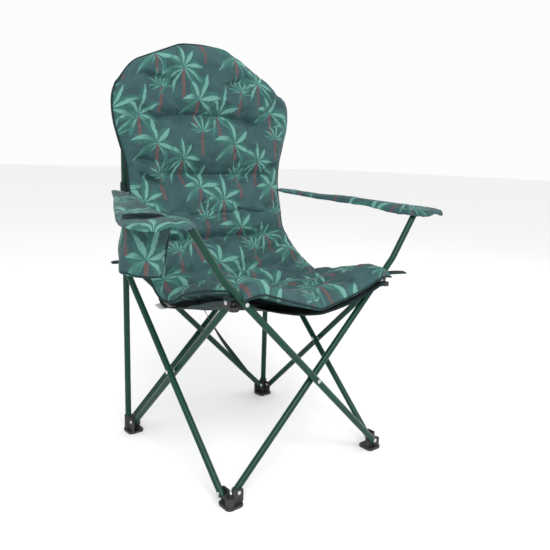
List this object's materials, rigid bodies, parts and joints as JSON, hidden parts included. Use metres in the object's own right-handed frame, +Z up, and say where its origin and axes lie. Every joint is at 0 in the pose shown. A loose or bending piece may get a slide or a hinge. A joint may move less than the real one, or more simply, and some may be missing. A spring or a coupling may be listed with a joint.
{
  "type": "folding camp chair",
  "caption": "Folding camp chair with a padded sling seat, high round-topped back, two fabric armrests and a cup holder, on steel scissor legs.",
  "frame": {"origin": "on the ground under the middle of the whole chair's bounding box", "axes": "+Z up, the sitter faces -Y, +X to the sitter's left"},
  "size_m": [0.9074, 0.5723, 1.0366],
  "materials": {
    "green_tube": "dark green gloss powder coat on steel tube",
    "black_plastic": "black moulded nylon",
    "bright_rivet": "bright zinc-plated steel rivet",
    "print_fabric": "padded woven polyester with a leaf print",
    "plain_fabric": "plain dark woven polyester",
    "black_webbing": "black woven webbing",
    "white_label": "blank white label"
  },
  "bodies": {
    "frame_root": {"right_upright": "green_tube", "right_upright_plug": "black_plastic", "right_rear_foot": "black_plastic", "right_top_pocket": "print_fabric", "right_arm_loop": "black_webbing", "back_pad": "print_fabric", "rear_outer_low_rivet": "bright_rivet", "right_inner_low_rivet": "bright_rivet"},
    "rear_outer": {"rear_outer_tube": "green_tube", "rear_cross_rivet": "bright_rivet"},
    "rear_inner": {"rear_inner_tube": "green_tube"},
    "left_rear": {"left_upright": "green_tube", "left_upright_plug": "black_plastic", "left_rear_foot": "black_plastic", "left_top_pocket": "print_fabric", "left_arm_loop": "black_webbing", "rear_inner_low_rivet": "bright_rivet", "left_outer_low_rivet": "bright_rivet", "closing_strap": "black_webbing"},
    "left_slider": {"left_rear_slider": "black_plastic", "rear_outer_high_rivet": "bright_rivet", "left_inner_high_rivet": "bright_rivet"},
    "left_outer": {"left_outer_tube": "green_tube", "left_cross_rivet": "bright_rivet"},
    "left_inner": {"left_inner_tube": "green_tube"},
    "left_front_foot": {"left_front_foot": "black_plastic", "left_inner_low_rivet": "bright_rivet", "front_outer_low_rivet": "bright_rivet"},
    "left_corner": {"left_front_corner": "black_plastic", "left_outer_high_rivet": "bright_rivet", "front_inner_high_rivet": "bright_rivet"},
    "front_outer": {"front_outer_tube": "green_tube", "front_cross_rivet": "bright_rivet", "right_arm_plate": "black_plastic"},
    "front_inner": {"front_inner_tube": "green_tube", "left_arm_plate": "black_plastic"},
    "right_inner": {"right_inner_tube": "green_tube"},
    "right_outer": {"right_outer_tube": "green_tube", "right_cross_rivet": "bright_rivet"},
    "right_front_foot": {"right_front_foot": "black_plastic", "right_outer_low_rivet": "bright_rivet", "front_inner_low_rivet": "bright_rivet"},
    "right_slider": {"right_rear_slider": "black_plastic", "right_outer_high_rivet": "bright_rivet", "rear_inner_high_rivet": "bright_rivet"},
    "right_corner": {"right_front_corner": "black_plastic", "right_inner_high_rivet": "bright_rivet", "front_outer_high_rivet": "bright_rivet"},
    "lumbar": {"lumbar_pad": "print_fabric"},
    "seat": {"seat_pad": "print_fabric", "seat_base": "plain_fabric", "blank_label": "white_label"},
    "right_arm": {"right_armrest": "print_fabric", "cup_holder": "print_fabric"},
    "left_arm": {"left_armrest": "print_fabric"}
  },
  "joints": [
    {"name": "frame_fold", "type": "hinge", "parent": "frame_root", "child": "rear_outer", "pos_m": [-0.195, 0.2757, 0.0316], "axis": [0, -1, 0], "range_deg": [0, 39], "deforming": ["back_pad", "lumbar_pad", "seat_pad", "seat_base", "blank_label", "right_armrest", "cup_holder", "left_armrest", "closing_strap"]},
    {"name": "rear_cross_turn", "type": "hinge", "parent": "rear_outer", "child": "rear_inner", "pos_m": [0.023, 0.2662, 0.2454], "axis": [0, 1, 0], "range_deg": [0, 78.5]},
    {"name": "left_rear_foot_turn", "type": "hinge", "parent": "rear_inner", "child": "left_rear", "pos_m": [0.241, 0.2567, 0.0316], "axis": [0, -1, 0], "range_deg": [0, 39.5]},
    {"name": "left_rear_slider_turn", "type": "hinge", "parent": "rear_outer", "child": "left_slider", "pos_m": [0.241, 0.2757, 0.4592], "axis": [0, 1, 0], "range_deg": [0, 39.5]},
    {"name": "left_outer_turn", "type": "hinge", "parent": "left_rear", "child": "left_outer", "pos_m": [0.2725, 0.2442, 0.0316], "axis": [-1, 0, 0], "range_deg": [0, 39.5]},
    {"name": "left_cross_turn", "type": "hinge", "parent": "left_outer", "child": "left_inner", "pos_m": [0.263, 0.0262, 0.2454], "axis": [1, 0, 0], "range_deg": [0, 78.5]},
    {"name": "left_front_foot_turn", "type": "hinge", "parent": "left_inner", "child": "left_front_foot", "pos_m": [0.2535, -0.1918, 0.0316], "axis": [-1, 0, 0], "range_deg": [0, 39.5]},
    {"name": "left_front_corner_turn", "type": "hinge", "parent": "left_outer", "child": "left_corner", "pos_m": [0.2725, -0.1918, 0.4592], "axis": [1, 0, 0], "range_deg": [0, 39.5]},
    {"name": "front_outer_turn", "type": "hinge", "parent": "left_front_foot", "child": "front_outer", "pos_m": [0.241, -0.2233, 0.0316], "axis": [0, 1, 0], "range_deg": [0, 39.5]},
    {"name": "right_inner_turn", "type": "hinge", "parent": "frame_root", "child": "right_inner", "pos_m": [-0.2075, 0.2442, 0.0316], "axis": [-1, 0, 0], "range_deg": [0, 39.5]},
    {"name": "right_cross_turn", "type": "hinge", "parent": "right_inner", "child": "right_outer", "pos_m": [-0.217, 0.0262, 0.2454], "axis": [1, 0, 0], "range_deg": [0, 78.5]},
    {"name": "right_front_foot_turn", "type": "hinge", "parent": "right_outer", "child": "right_front_foot", "pos_m": [-0.2265, -0.1918, 0.0316], "axis": [-1, 0, 0], "range_deg": [0, 39.5]},
    {"name": "right_rear_slider_turn", "type": "hinge", "parent": "right_outer", "child": "right_slider", "pos_m": [-0.2265, 0.2442, 0.4592], "axis": [-1, 0, 0], "range_deg": [0, 39.5]},
    {"name": "right_front_corner_turn", "type": "hinge", "parent": "right_inner", "child": "right_corner", "pos_m": [-0.2075, -0.1918, 0.4592], "axis": [1, 0, 0], "range_deg": [0, 39.5]},
    {"name": "front_inner_turn", "type": "hinge", "parent": "right_front_foot", "child": "front_inner", "pos_m": [-0.195, -0.2043, 0.0316], "axis": [0, -1, 0], "range_deg": [0, 39.5]},
    {"name": "lumbar_fold", "type": "hinge", "parent": "frame_root", "child": "lumbar", "pos_m": [0.023, 0.1264, 0.6091], "axis": [1, 0, 0], "range_deg": [0, 46.4]},
    {"name": "seat_fold", "type": "hinge", "parent": "lumbar", "child": "seat", "pos_m": [0.023, 0.0262, 0.412], "axis": [-1, 0, 0], "range_deg": [0, 122.7]},
    {"name": "right_armrest_fold", "type": "hinge", "parent": "frame_root", "child": "right_arm", "pos_m": [-0.217, 0.2662, 0.66], "axis": [-0.9523, 0.201, 0.2297], "range_deg": [0, 64.04]},
    {"name": "left_armrest_fold", "type": "hinge", "parent": "left_rear", "child": "left_arm", "pos_m": [0.263, 0.2662, 0.66], "axis": [-0.9536, -0.2101, -0.2156], "range_deg": [0, 68.21]}
  ],
  "couplings": [
    {"joint": "rear_cross_turn", "follows": "frame_fold", "ratio": 2},
    {"joint": "left_rear_foot_turn", "follows": "frame_fold", "ratio": 1},
    {"joint": "left_rear_slider_turn", "follows": "frame_fold", "ratio": 1},
    {"joint": "left_outer_turn", "follows": "frame_fold", "ratio": 1},
    {"joint": "left_cross_turn", "follows": "frame_fold", "ratio": 2},
    {"joint": "left_front_foot_turn", "follows": "frame_fold", "ratio": 1},
    {"joint": "left_front_corner_turn", "follows": "frame_fold", "ratio": 1},
    {"joint": "front_outer_turn", "follows": "frame_fold", "ratio": 1},
    {"joint": "right_inner_turn", "follows": "frame_fold", "ratio": 1},
    {"joint": "right_cross_turn", "follows": "frame_fold", "ratio": 2},
    {"joint": "right_front_foot_turn", "follows": "frame_fold", "ratio": 1},
    {"joint": "right_rear_slider_turn", "follows": "frame_fold", "ratio": 1},
    {"joint": "right_front_corner_turn", "follows": "frame_fold", "ratio": 1},
    {"joint": "front_inner_turn", "follows": "frame_fold", "ratio": 1},
    {"joint": "lumbar_fold", "follows": "frame_fold", "ratio": 1.1769},
    {"joint": "seat_fold", "follows": "frame_fold", "ratio": 3.1333},
    {"joint": "right_armrest_fold", "follows": "frame_fold", "ratio": 1.6293},
    {"joint": "left_armrest_fold", "follows": "frame_fold", "ratio": 1.7362}
  ]
}
